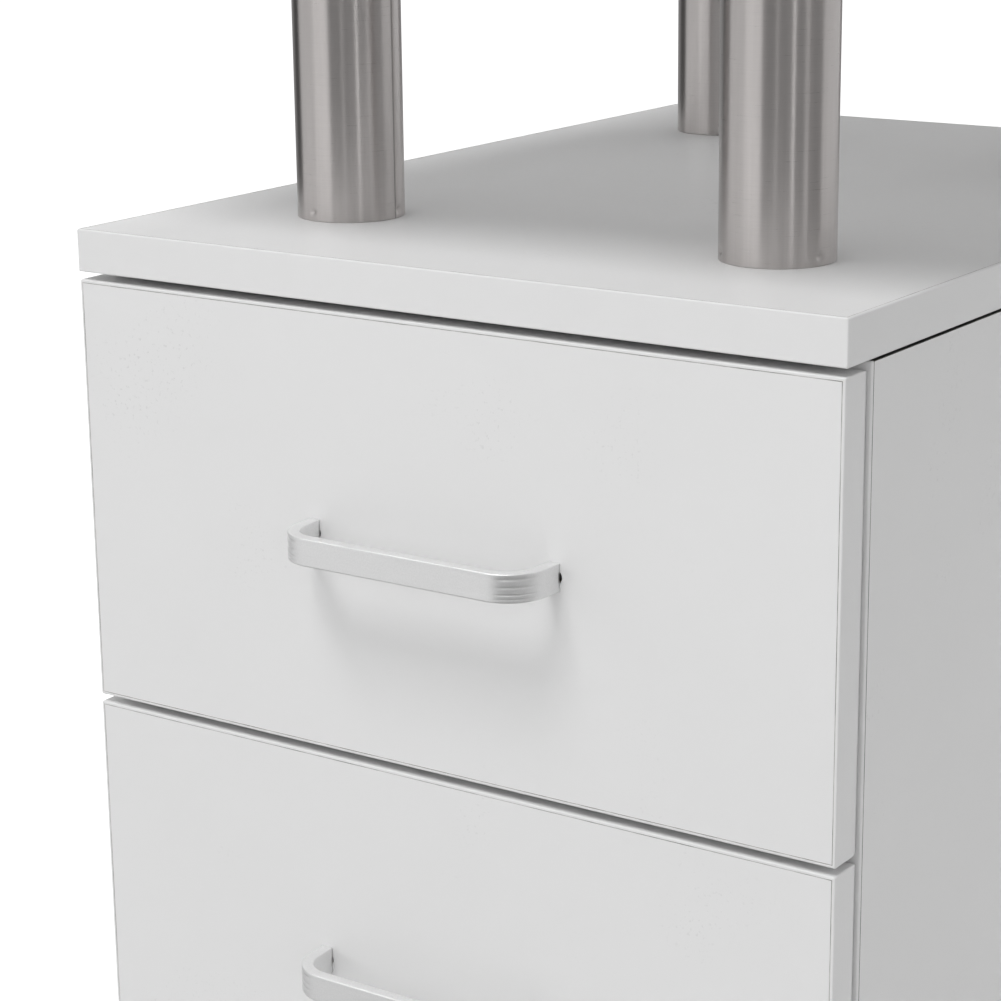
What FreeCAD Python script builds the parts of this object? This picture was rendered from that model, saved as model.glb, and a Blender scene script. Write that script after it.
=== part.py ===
import FreeCAD, Part
import math
import os

# Manicure table: a thin melamine top carried by a drawer pedestal at one end and two
# tube legs at the other. Four short steel tubes hold the top above the pedestal and
# leave an open shelf between them. Millimetres, +Z up, drawers open towards -Y.
# Origin: on the floor, under the middle of the table top.

V = FreeCAD.Vector

# ---- driving dimensions: table top ----
HEIGHT = 760.0              # floor to the working surface
TOP_W = 1100.0
TOP_D = 450.0
TOP_T = 25.0
TOP_CORNER_R = 30.0
TOP_BAND_T = 2.0            # plastic edging of the table top
OVERHANG = 25.0             # table top beyond the pedestal, left, front and back

# ---- driving dimensions: pedestal ----
BOARD_T = 15.0              # all pedestal panels
CAB_W = 300.0
CAB_D = 400.0
SHELF_GAP = 150.0           # clear height of the open shelf
EDGE_BAND_T = 1.0           # edging of the pedestal panels
SIDE_TOP_GAP = 0.65         # shadow line between the side panels and the top board

# ---- driving dimensions: drawers ----
DRAWERS = ("top", "middle", "bottom")
FRONT_H = 152.3
FRONT_INSET = 0.5           # each end of a front, from the pedestal's outer faces
FIRST_GAP = 2.7             # under the top board
FRONT_GAP = 2.7             # between two fronts
FRONT_TO_SIDE = 0.6         # air between a front and the carcass
SIDES_BELOW_FRONTS = 3.7    # the carcass reaches this far below the last front
BOX_T = 12.0                # drawer sides and back
BOX_H = 115.0
BOX_L = 350.0
BOX_LIFT = 22.0             # bottom of the box above the bottom of its front
BOX_BOTTOM_T = 3.0
BOX_BOTTOM_LIFT = 10.0
GROOVE = 5.0                # the bottom sheet sits this deep in its grooves
SLIDE_GAP = 12.5            # carcass side to drawer side

# ---- driving dimensions: handles ----
HANDLE_W = 100.4            # over the two feet
HANDLE_H = 9.5
HANDLE_T = 4.2
HANDLE_OUT = 21.5           # how far the grip stands off the front
HANDLE_R = 13.6             # outside of the bends
HANDLE_SCREW_R = 1.5
HANDLE_SCREW_GRIP = 9.0     # thread length in a foot
SCREW_HEAD_R = 3.5
SCREW_HEAD_T = 2.2
FRONT_HOLE_R = 2.6          # generous holes, drilled a little wider apart than the feet
FRONT_HOLE_SPREAD = 0.22

# ---- driving dimensions: steel tubes ----
TUBE_R = 19.0
TUBE_WALL = 1.2
COLUMN_X = (64.0, 236.0)    # from the pedestal's left face
COLUMN_Y = (73.0, 333.0)    # from the pedestal's front
DIMPLE_R = 1.6
DIMPLE_DEPTH = 0.6
DIMPLE_UP = 3.2             # staking marks above the lower end of a column
DIMPLES = 3
DIMPLE_TURNS = (-98.0, -134.0, -60.0, -110.0)   # first mark of each column, degrees from +X
PLUG_T = 8.0
PLUG_SCREW_R = 3.0
STUD_IN_TOP = 18.0
BOLT_HEAD_R = 6.0
BOLT_HEAD_T = 3.4
LEG_INSET = 70.0            # tube leg centre from the edges of the table top
FOOT_X = (50.0, 250.0)      # from the pedestal's left face
FOOT_Y = (58.0, 342.0)      # from the pedestal's front

# ---- driving dimensions: flanges, glides and small hardware ----
FLANGE_R = 33.0
FLANGE_T = 3.0
FLANGE_PCD_R = 26.5
FLANGE_SCREWS = 4
WOOD_SCREW_R = 2.0
WOOD_SCREW_L = 13.0
WOOD_SCREW_HEAD_R = 4.0
WOOD_SCREW_HEAD_T = 2.0
GLIDE_T = 8.0
GLIDE_PLUG_L = 16.0
GLIDE_EDGE = 1.5
CAM_R = 7.5
CAM_T = 12.5
CAM_FROM_JOINT = 24.0
CAM_Y = (120.0, 300.0)
DOWEL_R = 4.0
DOWEL_L = 30.0
DOWEL_IN_FACE = 10.0
DOWEL_Y = (160.0, 260.0)

# ---- driving dimensions: roller slides ----
RAIL_L = 350.0
RAIL_T = 1.2
RAIL_W = 10.5
LIP_W = 7.0
RUN_GAP = 0.3               # air around a roller in its channel
LIP_GAP = 0.5
ROLLER_R = 8.8
ROLLER_W = 8.0
ROLLER_FROM_WEB = 1.1
ROLLER_FROM_END = 12.0
AXLE_R = 2.0
AXLE_CLEARANCE = 0.05
AXLE_HEAD_R = 3.2
AXLE_HEAD_T = 0.4
RUNNER_W = 9.5
AXIS_OVER_BOX = 5.7         # roller axes above the bottom edge of the drawer box
RAIL_SCREW_R = 1.75
RAIL_SCREW_HEAD_R = 3.0
RAIL_SCREW_L = 12.0
RAIL_SCREW_Y = (60.0, 300.0)

# ---- places worked out from the driving dimensions ----
X0 = -TOP_W / 2 + OVERHANG              # pedestal, left face
Y0 = -TOP_D / 2 + OVERHANG              # pedestal, front
TOP_Z = HEIGHT - TOP_T                  # underside of the table top
BOARD_Z = TOP_Z - SHELF_GAP             # open shelf's surface
SIDE_TOP = BOARD_Z - BOARD_T - SIDE_TOP_GAP
FRONT_PITCH = FRONT_H + FRONT_GAP
FRONT_TOP = BOARD_Z - BOARD_T - FIRST_GAP
CAB_BOTTOM = FRONT_TOP - len(DRAWERS) * FRONT_PITCH + FRONT_GAP - SIDES_BELOW_FRONTS
CARCASS_Y = BOARD_T + FRONT_TO_SIDE     # carcass front edges, from the pedestal's front
BACK_Y = CAB_D - BOARD_T                # inner face of the back panel
BOX_X = BOARD_T + SLIDE_GAP             # outer face of a drawer box
BOX_END_Y = BOARD_T + BOX_L
RUNNER_Z = ROLLER_R + RUN_GAP           # underside of the runner above the slide axis


# ---- helpers: x and y are counted from the pedestal's front left edge ----
def box(x0, x1, y0, y1, z0, z1):
    """Rectangular block between two corners."""
    return Part.makeBox(x1 - x0, y1 - y0, z1 - z0, V(X0 + x0, Y0 + y0, z0))


def rod(x, y, z, r, length, axis):
    """Cylinder that starts at a point and runs along axis."""
    return Part.makeCylinder(r, length, V(X0 + x, Y0 + y, z), axis)


def cone(x, y, z, r0, r1, length, axis):
    """Cone that starts at a point with radius r0 and ends with radius r1."""
    return Part.makeCone(r0, r1, length, V(X0 + x, Y0 + y, z), axis)


def tube(x, y, z0, z1):
    """Upright steel tube."""
    outer = rod(x, y, z0, TUBE_R, z1 - z0, V(0, 0, 1))
    return outer.cut(rod(x, y, z0, TUBE_R - TUBE_WALL, z1 - z0, V(0, 0, 1)))


def upright_edges(solid):
    """Edges of a solid that run along Z."""
    found = []
    for edge in solid.Edges:
        a, b = edge.Vertexes[0].Point, edge.Vertexes[-1].Point
        if abs(a.x - b.x) < 1e-6 and abs(a.y - b.y) < 1e-6 and abs(a.z - b.z) > 1e-6:
            found.append(edge)
    return found


def cut_all(solid, tools):
    """The solid less every tool."""
    return solid.cut(tools) if tools else solid


def save(name, shapes):
    """Write one node, made of one or more separate solids."""
    solids = []
    for shape in shapes:
        solids.extend(shape.Solids)
    whole = solids[0] if len(solids) == 1 else Part.makeCompound(solids)
    whole.exportStep("parts/" + name + ".step")
    print(name, len(solids), "solid(s)", round(sum(s.Volume for s in solids) / 1000.0, 2), "cm3")


# ---- where things stand ----
def column_places():
    """Name and centre of each short column."""
    for end, y in zip(("front", "back"), COLUMN_Y):
        for side, x in zip(("left", "right"), COLUMN_X):
            yield end + "_" + side + "_column", x, y


def leg_places():
    """Name and centre of each tube leg at the open end."""
    x = TOP_W - OVERHANG - LEG_INSET
    yield "front_leg", x, LEG_INSET - OVERHANG
    yield "back_leg", x, TOP_D - OVERHANG - LEG_INSET


def foot_places():
    """Name and centre of each foot under the pedestal."""
    for end, y in zip(("front", "back"), FOOT_Y):
        for side, x in zip(("left", "right"), FOOT_X):
            yield end + "_" + side + "_foot", x, y


def flange_places():
    """Centre and panel underside of every mounting flange."""
    for _, x, y in leg_places():
        yield x, y, TOP_Z
    for _, x, y in foot_places():
        yield x, y, CAB_BOTTOM


def flange_screw_places():
    """Centre and panel underside of every flange screw."""
    for x, y, z in flange_places():
        for k in range(FLANGE_SCREWS):
            a = math.radians(45 + 360.0 * k / FLANGE_SCREWS)
            yield x + FLANGE_PCD_R * math.cos(a), y + FLANGE_PCD_R * math.sin(a), z


def front_top(i):
    """Top edge of drawer front i."""
    return FRONT_TOP - i * FRONT_PITCH


def box_z(i):
    """Bottom edge of drawer box i."""
    return front_top(i) - FRONT_H + BOX_LIFT


def slide_z(i):
    """Height of the roller axes of drawer i."""
    return box_z(i) + AXIS_OVER_BOX


# ---- left and right: u is counted from a carcass side's inner face, inwards ----
SIDES = ((BOARD_T, 1), (CAB_W - BOARD_T, -1))


def side_box(side, u0, u1, y0, y1, z0, z1):
    """Block beside a carcass side, mirrored on the right."""
    start, sense = side
    xa, xb = sorted((start + sense * u0, start + sense * u1))
    return box(xa, xb, y0, y1, z0, z1)


def side_rod(side, u0, u1, y, z, r):
    """Cylinder across the slide gap, mirrored on the right."""
    start, sense = side
    return rod(start + sense * u0, y, z, r, u1 - u0, V(sense, 0, 0))


# ---- fastener shapes ----
def flange_screw(x, y, z):
    """Countersunk wood screw, driven upwards through a flange."""
    head_z = z - FLANGE_T
    head = cone(x, y, head_z, WOOD_SCREW_HEAD_R, WOOD_SCREW_R, WOOD_SCREW_HEAD_T, V(0, 0, 1))
    return head.fuse(rod(x, y, head_z, WOOD_SCREW_R, WOOD_SCREW_L, V(0, 0, 1))).removeSplitter()


def rail_screw(side, y, z):
    """Countersunk wood screw through a rail's web into the carcass side."""
    start, sense = side
    outward = V(-sense, 0, 0)
    head = cone(start + sense * RAIL_T, y, z, RAIL_SCREW_HEAD_R, RAIL_SCREW_R, RAIL_T, outward)
    return head.fuse(rod(start, y, z, RAIL_SCREW_R, RAIL_SCREW_L, outward)).removeSplitter()


def rail_screws():
    """All screws of the carcass rails."""
    return [rail_screw(side, y, slide_z(i)) for i in range(len(DRAWERS))
            for side in SIDES for y in RAIL_SCREW_Y]


def column_bolts():
    """Screws that pull the columns onto the pedestal's top board."""
    made = []
    for _, x, y in column_places():
        shank_z = BOARD_Z - BOARD_T
        shank = rod(x, y, shank_z, PLUG_SCREW_R, BOARD_T + PLUG_T, V(0, 0, 1))
        head = rod(x, y, shank_z - BOLT_HEAD_T, BOLT_HEAD_R, BOLT_HEAD_T, V(0, 0, 1))
        made.append(shank.fuse(head).removeSplitter())
    return made


def column_studs():
    """Studs that join the columns to the table top."""
    return [rod(x, y, TOP_Z - PLUG_T, PLUG_SCREW_R, PLUG_T + STUD_IN_TOP, V(0, 0, 1))
            for _, x, y in column_places()]


def cam_locks():
    """Cam discs: four in the side panels, four in the bottom panel."""
    made = []
    for side in SIDES:
        start, sense = side
        for y in CAM_Y:
            made.append(rod(start, y, SIDE_TOP - CAM_FROM_JOINT, CAM_R, CAM_T, V(-sense, 0, 0)))
            made.append(rod(start + sense * CAM_FROM_JOINT, y, CAB_BOTTOM, CAM_R, CAM_T, V(0, 0, 1)))
    return made


def dowels():
    """Wooden dowels: upright under the top board, level beside the bottom panel."""
    made = []
    top_z = BOARD_Z - BOARD_T + DOWEL_IN_FACE - DOWEL_L
    bottom_z = CAB_BOTTOM + BOARD_T / 2
    for start, sense in SIDES:
        for y in DOWEL_Y:
            made.append(rod(start - sense * BOARD_T / 2, y, top_z, DOWEL_R, DOWEL_L, V(0, 0, 1)))
            made.append(rod(start - sense * DOWEL_IN_FACE, y, bottom_z, DOWEL_R, DOWEL_L, V(sense, 0, 0)))
    return made


# ---- table top ----
def rounded_slab(inset, z0, z1):
    """Table top outline, moved in by inset."""
    slab = box(-OVERHANG + inset, TOP_W - OVERHANG - inset,
               -OVERHANG + inset, TOP_D - OVERHANG - inset, z0, z1)
    return slab.makeFillet(TOP_CORNER_R - inset, upright_edges(slab))


def make_table_top(fasteners):
    """Core board, drilled for the studs and leg screws, and its edging."""
    core = rounded_slab(TOP_BAND_T, TOP_Z, HEIGHT)
    save("tabletop", [cut_all(core, fasteners)])
    band = rounded_slab(0.0, TOP_Z, HEIGHT).cut(core)
    save("tabletop_edge_band", [band])


# ---- pedestal carcass ----
def make_top_board(fasteners):
    """Pedestal top board and the edging around it."""
    t = EDGE_BAND_T
    core = box(t, CAB_W - t, t, CAB_D - t, BOARD_Z - BOARD_T, BOARD_Z)
    save("cabinet_top_board", [cut_all(core, fasteners)])
    band = box(0, CAB_W, 0, CAB_D, BOARD_Z - BOARD_T, BOARD_Z).cut(core)
    save("cabinet_top_edge_band", [band])


def make_side_panels(fasteners):
    """Two side panels with edging on their front edges."""
    bands = []
    for name, x in (("left_side_panel", 0.0), ("right_side_panel", CAB_W - BOARD_T)):
        front = CARCASS_Y + EDGE_BAND_T
        panel = box(x, x + BOARD_T, front, CAB_D, CAB_BOTTOM, SIDE_TOP)
        save(name, [cut_all(panel, fasteners)])
        bands.append(box(x, x + BOARD_T, CARCASS_Y, front, CAB_BOTTOM, SIDE_TOP))
    save("side_panel_edge_bands", bands)


def make_back_and_bottom(fasteners):
    """Back panel and bottom panel, both between the side panels."""
    inner = (BOARD_T, CAB_W - BOARD_T)
    save("back_panel", [box(inner[0], inner[1], BACK_Y, CAB_D, CAB_BOTTOM, SIDE_TOP)])
    bottom = box(inner[0], inner[1], CARCASS_Y, BACK_Y, CAB_BOTTOM, CAB_BOTTOM + BOARD_T)
    save("bottom_panel", [cut_all(bottom, fasteners)])


# ---- tubes ----
def make_columns():
    """Four short columns with staking marks, and the plugs in their ends."""
    plugs = []
    for turn, (name, x, y) in zip(DIMPLE_TURNS, column_places()):
        dents = []
        for k in range(DIMPLES):
            a = math.radians(turn + 360.0 * k / DIMPLES)
            reach = TUBE_R + DIMPLE_R - DIMPLE_DEPTH
            centre = V(X0 + x + reach * math.cos(a), Y0 + y + reach * math.sin(a), BOARD_Z + DIMPLE_UP)
            dents.append(Part.makeSphere(DIMPLE_R, centre))
        save(name, [tube(x, y, BOARD_Z, TOP_Z).cut(dents)])
        for z in (BOARD_Z, TOP_Z - PLUG_T):
            plugs.append(rod(x, y, z, TUBE_R - TUBE_WALL, PLUG_T, V(0, 0, 1)))
    bolts = column_bolts() + column_studs()
    save("column_end_plugs", [cut_all(plug, bolts) for plug in plugs])
    save("column_bolts_and_studs", bolts)


def make_legs_and_feet():
    """Tube legs and feet, their flanges and screws, and the plastic glides."""
    for name, x, y in leg_places():
        save(name, [tube(x, y, GLIDE_T, TOP_Z - FLANGE_T)])
    for name, x, y in foot_places():
        save(name, [tube(x, y, GLIDE_T, CAB_BOTTOM - FLANGE_T)])
    screws = [flange_screw(x, y, z) for x, y, z in flange_screw_places()]
    discs = [rod(x, y, z - FLANGE_T, FLANGE_R, FLANGE_T, V(0, 0, 1)) for x, y, z in flange_places()]
    save("mounting_flanges", [cut_all(disc, screws) for disc in discs])
    save("flange_screws", screws)
    save("floor_glides", [make_glide(x, y) for _, x, y in list(leg_places()) + list(foot_places())])


def make_glide(x, y):
    """Plastic glide: a foot pad as wide as the tube, with a plug that fills its mouth."""
    edge = cone(x, y, 0, TUBE_R - GLIDE_EDGE, TUBE_R, GLIDE_EDGE, V(0, 0, 1))
    pad = rod(x, y, GLIDE_EDGE, TUBE_R, GLIDE_T - GLIDE_EDGE, V(0, 0, 1))
    plug = rod(x, y, GLIDE_T, TUBE_R - TUBE_WALL, GLIDE_PLUG_L, V(0, 0, 1))
    return edge.fuse([pad, plug]).removeSplitter()


# ---- roller slides ----
def axle(side, u_web, u_head, y, z):
    """Riveted axle from a rail's web to its head."""
    u0, u1 = sorted((u_web, u_head))
    pin = side_rod(side, u0, u1, y, z, AXLE_R)
    head_u = u_head if u_head < u_web else u_head - AXLE_HEAD_T
    return pin.fuse(side_rod(side, head_u, head_u + AXLE_HEAD_T, y, z, AXLE_HEAD_R))


def roller(side, y, z):
    """Nylon roller with a running bore."""
    u0 = RAIL_T + ROLLER_FROM_WEB
    wheel = side_rod(side, u0, u0 + ROLLER_W, y, z, ROLLER_R)
    return wheel.cut(side_rod(side, u0, u0 + ROLLER_W, y, z, AXLE_R + AXLE_CLEARANCE))


def carcass_rail(side, z, screws):
    """C-shaped rail on the carcass side, with the front roller's axle."""
    y0, y1 = CARCASS_Y + EDGE_BAND_T, CARCASS_Y + EDGE_BAND_T + RAIL_L
    floor_z = z - RUNNER_Z
    lip_z = z + RUNNER_Z + RAIL_T + LIP_GAP
    web = side_box(side, 0, RAIL_T, y0, y1, floor_z - RAIL_T, lip_z + RAIL_T)
    floor = side_box(side, RAIL_T, RAIL_W, y0, y1, floor_z - RAIL_T, floor_z)
    lip = side_box(side, RAIL_T, LIP_W, y0, y1, lip_z, lip_z + RAIL_T)
    head_u = SLIDE_GAP - RAIL_T - RUN_GAP
    pin = axle(side, RAIL_T, head_u, y0 + ROLLER_FROM_END, z)
    return cut_all(web.fuse([floor, lip, pin]).removeSplitter(), screws)


def drawer_rail(side, z):
    """Angle rail under the edge of a drawer side, with the rear roller's axle."""
    y0, y1 = CARCASS_Y, BOX_END_Y - 1.0
    u_in, u_out = SLIDE_GAP, SLIDE_GAP - RAIL_T
    bottom = z - AXIS_OVER_BOX
    runner = z + RUNNER_Z
    web = side_box(side, u_out, u_in, y0, y1, bottom - RAIL_T, runner + RAIL_T)
    shelf = side_box(side, u_in, u_in + RUNNER_W, y0, y1, bottom - RAIL_T, bottom)
    flange = side_box(side, u_out - RUNNER_W + RUN_GAP, u_out, y0, y1, runner, runner + RAIL_T)
    pin = axle(side, u_out, RAIL_T + RUN_GAP, BOX_END_Y - ROLLER_FROM_END, z)
    return web.fuse([shelf, flange, pin]).removeSplitter()


def make_slides(i, name, screws):
    """One pair of roller slides."""
    z = slide_z(i)
    save(name + "_cabinet_rails", [carcass_rail(side, z, screws) for side in SIDES])
    save(name + "_drawer_rails", [drawer_rail(side, z) for side in SIDES])
    front_y = CARCASS_Y + EDGE_BAND_T + ROLLER_FROM_END
    rear_y = BOX_END_Y - ROLLER_FROM_END
    save(name + "_cabinet_rollers", [roller(side, front_y, z) for side in SIDES])
    save(name + "_drawer_rollers", [roller(side, rear_y, z) for side in SIDES])
    print(name, "roller axes: front y", Y0 + front_y, "rear y", Y0 + rear_y, "z", z)


# ---- drawers ----
def handle_screw_x():
    """Screw lines of a handle, from the pedestal's left face."""
    reach = (HANDLE_W - HANDLE_T) / 2
    return (CAB_W / 2 - reach, CAB_W / 2 + reach)


def make_handle(z):
    """Flat aluminium strip, bent twice to make a bow handle."""
    def bow(inset, radius):
        half = HANDLE_W / 2 - inset
        block = box(CAB_W / 2 - half, CAB_W / 2 + half, -HANDLE_OUT + inset, 0,
                    z - HANDLE_H / 2, z + HANDLE_H / 2)
        front_line = Y0 - HANDLE_OUT + inset
        bends = [e for e in upright_edges(block) if abs(e.Vertexes[0].Point.y - front_line) < 1e-3]
        return block.makeFillet(radius, bends)
    strip = bow(0.0, HANDLE_R).cut(bow(HANDLE_T, HANDLE_R - HANDLE_T))
    threads = [rod(x, 0, z, HANDLE_SCREW_R, HANDLE_SCREW_GRIP, V(0, -1, 0)) for x in handle_screw_x()]
    return cut_all(strip, threads)


def handle_screws(z):
    """Two machine screws, put in from inside the drawer."""
    made = []
    for x in handle_screw_x():
        length = BOARD_T + HANDLE_SCREW_GRIP
        shank = rod(x, BOARD_T, z, HANDLE_SCREW_R, length, V(0, -1, 0))
        head = rod(x, BOARD_T, z, SCREW_HEAD_R, SCREW_HEAD_T, V(0, 1, 0))
        made.append(shank.fuse(head).removeSplitter())
    return made


def make_drawer(i, name):
    """Front, box, handle and screws of one drawer."""
    top = front_top(i)
    mid = top - FRONT_H / 2
    z0 = box_z(i)
    sheet_z = z0 + BOX_BOTTOM_LIFT
    inner = BOX_X + BOX_T
    sheet = box(inner - GROOVE, CAB_W - inner + GROOVE, BOARD_T - GROOVE,
                BOX_END_Y - BOX_T + GROOVE, sheet_z, sheet_z + BOX_BOTTOM_T)
    front = box(FRONT_INSET, CAB_W - FRONT_INSET, 0, BOARD_T, top - FRONT_H, top)
    foot_left, foot_right = handle_screw_x()
    holes = [rod(x, 0, mid, FRONT_HOLE_R, BOARD_T, V(0, 1, 0))
             for x in (foot_left - FRONT_HOLE_SPREAD, foot_right + FRONT_HOLE_SPREAD)]
    save(name + "_drawer_front", [front.cut(holes + [sheet])])
    left = box(BOX_X, inner, BOARD_T, BOX_END_Y, z0, z0 + BOX_H)
    right = box(CAB_W - inner, CAB_W - BOX_X, BOARD_T, BOX_END_Y, z0, z0 + BOX_H)
    back = box(inner, CAB_W - inner, BOX_END_Y - BOX_T, BOX_END_Y, z0, z0 + BOX_H)
    save(name + "_drawer_left_side", [left.cut(sheet)])
    save(name + "_drawer_right_side", [right.cut(sheet)])
    save(name + "_drawer_back", [back.cut(sheet)])
    save(name + "_drawer_bottom", [sheet])
    save(name + "_handle", [make_handle(mid)])
    save(name + "_handle_screws", handle_screws(mid))


def main():
    os.makedirs("parts", exist_ok=True)
    columns = column_bolts() + column_studs()
    flanges = [flange_screw(x, y, z) for x, y, z in flange_screw_places()]
    joinery = cam_locks() + dowels()
    rails = rail_screws()
    make_table_top(column_studs() + flanges[:2 * FLANGE_SCREWS])
    make_top_board(columns + dowels())
    make_side_panels(joinery + rails)
    make_back_and_bottom(joinery + flanges)
    make_columns()
    make_legs_and_feet()
    save("cam_locks", cam_locks())
    save("dowels", dowels())
    save("rail_screws", rails)
    for i, name in enumerate(DRAWERS):
        make_slides(i, name, rails)
        make_drawer(i, name)


main()
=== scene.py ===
import math
import random

import bmesh
import bpy
from mathutils import Matrix, Vector


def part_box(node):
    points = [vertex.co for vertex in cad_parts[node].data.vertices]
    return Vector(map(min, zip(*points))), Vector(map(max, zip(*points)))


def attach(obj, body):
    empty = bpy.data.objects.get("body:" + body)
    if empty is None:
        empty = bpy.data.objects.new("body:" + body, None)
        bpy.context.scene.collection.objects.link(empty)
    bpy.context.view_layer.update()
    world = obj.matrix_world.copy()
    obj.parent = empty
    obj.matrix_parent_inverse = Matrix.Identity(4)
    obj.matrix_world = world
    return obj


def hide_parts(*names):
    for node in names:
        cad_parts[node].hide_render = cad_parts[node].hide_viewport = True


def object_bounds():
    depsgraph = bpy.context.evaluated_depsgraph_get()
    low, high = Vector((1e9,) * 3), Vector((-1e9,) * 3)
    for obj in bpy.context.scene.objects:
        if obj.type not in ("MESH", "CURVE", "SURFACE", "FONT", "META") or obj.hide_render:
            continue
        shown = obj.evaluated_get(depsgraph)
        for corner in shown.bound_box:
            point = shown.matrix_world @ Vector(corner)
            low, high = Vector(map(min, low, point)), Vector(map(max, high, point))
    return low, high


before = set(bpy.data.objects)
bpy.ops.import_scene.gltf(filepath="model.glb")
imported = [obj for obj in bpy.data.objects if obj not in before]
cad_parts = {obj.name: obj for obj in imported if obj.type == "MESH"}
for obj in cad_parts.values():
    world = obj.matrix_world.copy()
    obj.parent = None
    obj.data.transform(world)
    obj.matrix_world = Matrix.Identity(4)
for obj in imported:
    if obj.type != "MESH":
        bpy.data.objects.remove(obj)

CAD_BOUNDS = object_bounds()
MM = 0.001
DRAWERS = ("top", "middle", "bottom")
SEED = 7

# ---- edging and panel detail ----
SHARP = 0.02 * MM           # corner radius of an edge that isn't rounded
CORNER_STEPS = 3
TOP_BAND = 2.0 * MM
TOP_EDGE_R = 1.4 * MM
TOP_CORNER = 30.0 * MM
TOP_CORNER_STEPS = 14
BAND = 1.0 * MM
BAND_EDGE_R = 0.55 * MM
PANEL_CORNER = 0.5 * MM
PANEL_EDGE_R = 0.3 * MM     # broken edges of the back and bottom panels
FRONT_BACK_R = 1.8 * MM     # softer back edges of the drawer fronts
FRONT_BACK_REACH = 2.4      # they are this many times as deep as they are wide
JOINT_R = 0.14 * MM         # broken edge of a core board, where its edging meets it
OPEN_JOINT_R = 0.20 * MM    # the same on the side panels, where the joint is open
GROOVE_W = 0.26 * MM        # glue line in the faces of a drawer front
GROOVE_D = 0.12 * MM
GROOVE_LAND = 0.01 * MM     # flat left between the back edge and its glue line
NODE_BEVEL_ANGLE = 50.0     # degrees, of the edges that are broken on CAD nodes
NODE_BEVEL_SEGMENTS = 2

# ---- handles ----
STRIP_T = 4.2 * MM
STRIP_EDGE_R = 0.45 * MM
STRIP_EDGE_STEPS = 4
BEND_R = 13.6 * MM
LEG_LEAN = 0.45 * MM        # each leg leans in by this much at the grip
LEG_STEPS, BEND_STEPS, GRIP_STEPS = 8, 36, 30
FACE_STEPS = 44             # up the strip's outside face, fine enough for the wrinkles
# wrinkles on the outside of a bend: place down the strip as a share, depth and width in millimetres
WRINKLES = ((0.19, 0.30, 0.42), (0.48, 0.22, 0.40), (0.70, 0.26, 0.22), (0.89, 0.18, 0.22))
WRINKLE_SHIFT = 0.03        # each handle's own are moved by up to this share
WRINKLED = (0.10, 0.34, 0.58, 0.92)     # share of a bend where they start, are full, fade, end
FRONT_HOLE_R = 2.6 * MM
FRONT_HOLE_SPREAD = 0.22 * MM
HOLE_SEGMENTS = 48

# ---- tubes ----
TUBE_GIRTH = 2 * math.pi * 19.0     # millimetres round a tube
TUBE_WALL = 1.2 * MM
TUBE_LIP = 0.25 * MM        # broken outer edge at each end
LIP_MIDDLE = 0.3            # share of the lip at which its middle point stands
TUBE_ROWS = 6
COLUMN_SEGMENTS, LEG_SEGMENTS = 240, 128
DIMPLE_UP = 3.2 * MM
DIMPLE_R = 1.25 * MM
DIMPLE_DEPTH = 0.75 * MM
DIMPLE_REACH = 3 * DIMPLE_R
DIMPLE_FALL = 1.4           # how fast a mark's depth falls off
DIMPLE_ROW = 0.3 * MM       # height of the mesh rows round the marks
# degrees round each column from its right: its staking marks, and its weld seam
COLUMNS = {
    "front_left_column": ((-97.0, 8.0, 140.0), 2.0),
    "front_right_column": ((-134.0, -16.0, 105.0), 215.0),
    "back_left_column": ((-60.0, 60.0, 180.0), 150.0),
    "back_right_column": ((-110.0, 10.0, 130.0), 300.0),
}
LEGS_AND_FEET = ("front_leg", "back_leg", "front_left_foot", "front_right_foot",
                 "back_left_foot", "back_right_foot")
LEG_SEAM = 0.6              # share of the girth
SEAM_CORE, SEAM_EDGE = 0.18, 0.55   # millimetres from its middle, where it starts to fade and ends
SEAM_STRENGTH = 0.45

# ---- colours ----
WHITE = (0.80, 0.80, 0.80)
STEEL = (0.57, 0.542, 0.532)
STEEL_ROUGHNESS = 0.30
SEAM_COLOUR = (0.06, 0.058, 0.055)
MARK_SHADE = 0.86           # handling marks, against the board round them
NOISE_RANGE = (0.3, 0.7)    # most of a noise's values lie between these

# ---- studio ----
SKY_LOW, SKY_HIGH = 0.92, 0.22          # light from low down and from above
SKY_LOW_Z, SKY_HIGH_Z = 0.35, 0.80      # heights on the unit sphere between which it changes
SKY_MIRRORED, SKY_DARK = 0.28, 0.05     # what metal mirrors, and its dark side
DARK_SIDE = (-0.994, 0.105, 0.0)        # to the left, and a little behind
DARK_EDGE, DARK_CORE = 0.940, 0.985     # cosines of the angle from it
FLOOR_WHITE = 0.70
FLOOR_HALF = 30.0                       # metres from the middle to an edge
FLOOR_DROP = 0.5 * MM
FLOOR_GLOW_NEAR, FLOOR_GLOW_FAR = 0.38, 0.76    # soft shadows near the table, white far off
FLOOR_NEAR, FLOOR_FAR = 0.60, 2.30              # metres from the middle
FLOOR_STRETCH = 1.35                    # the glow changes this many times faster along Y
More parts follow.
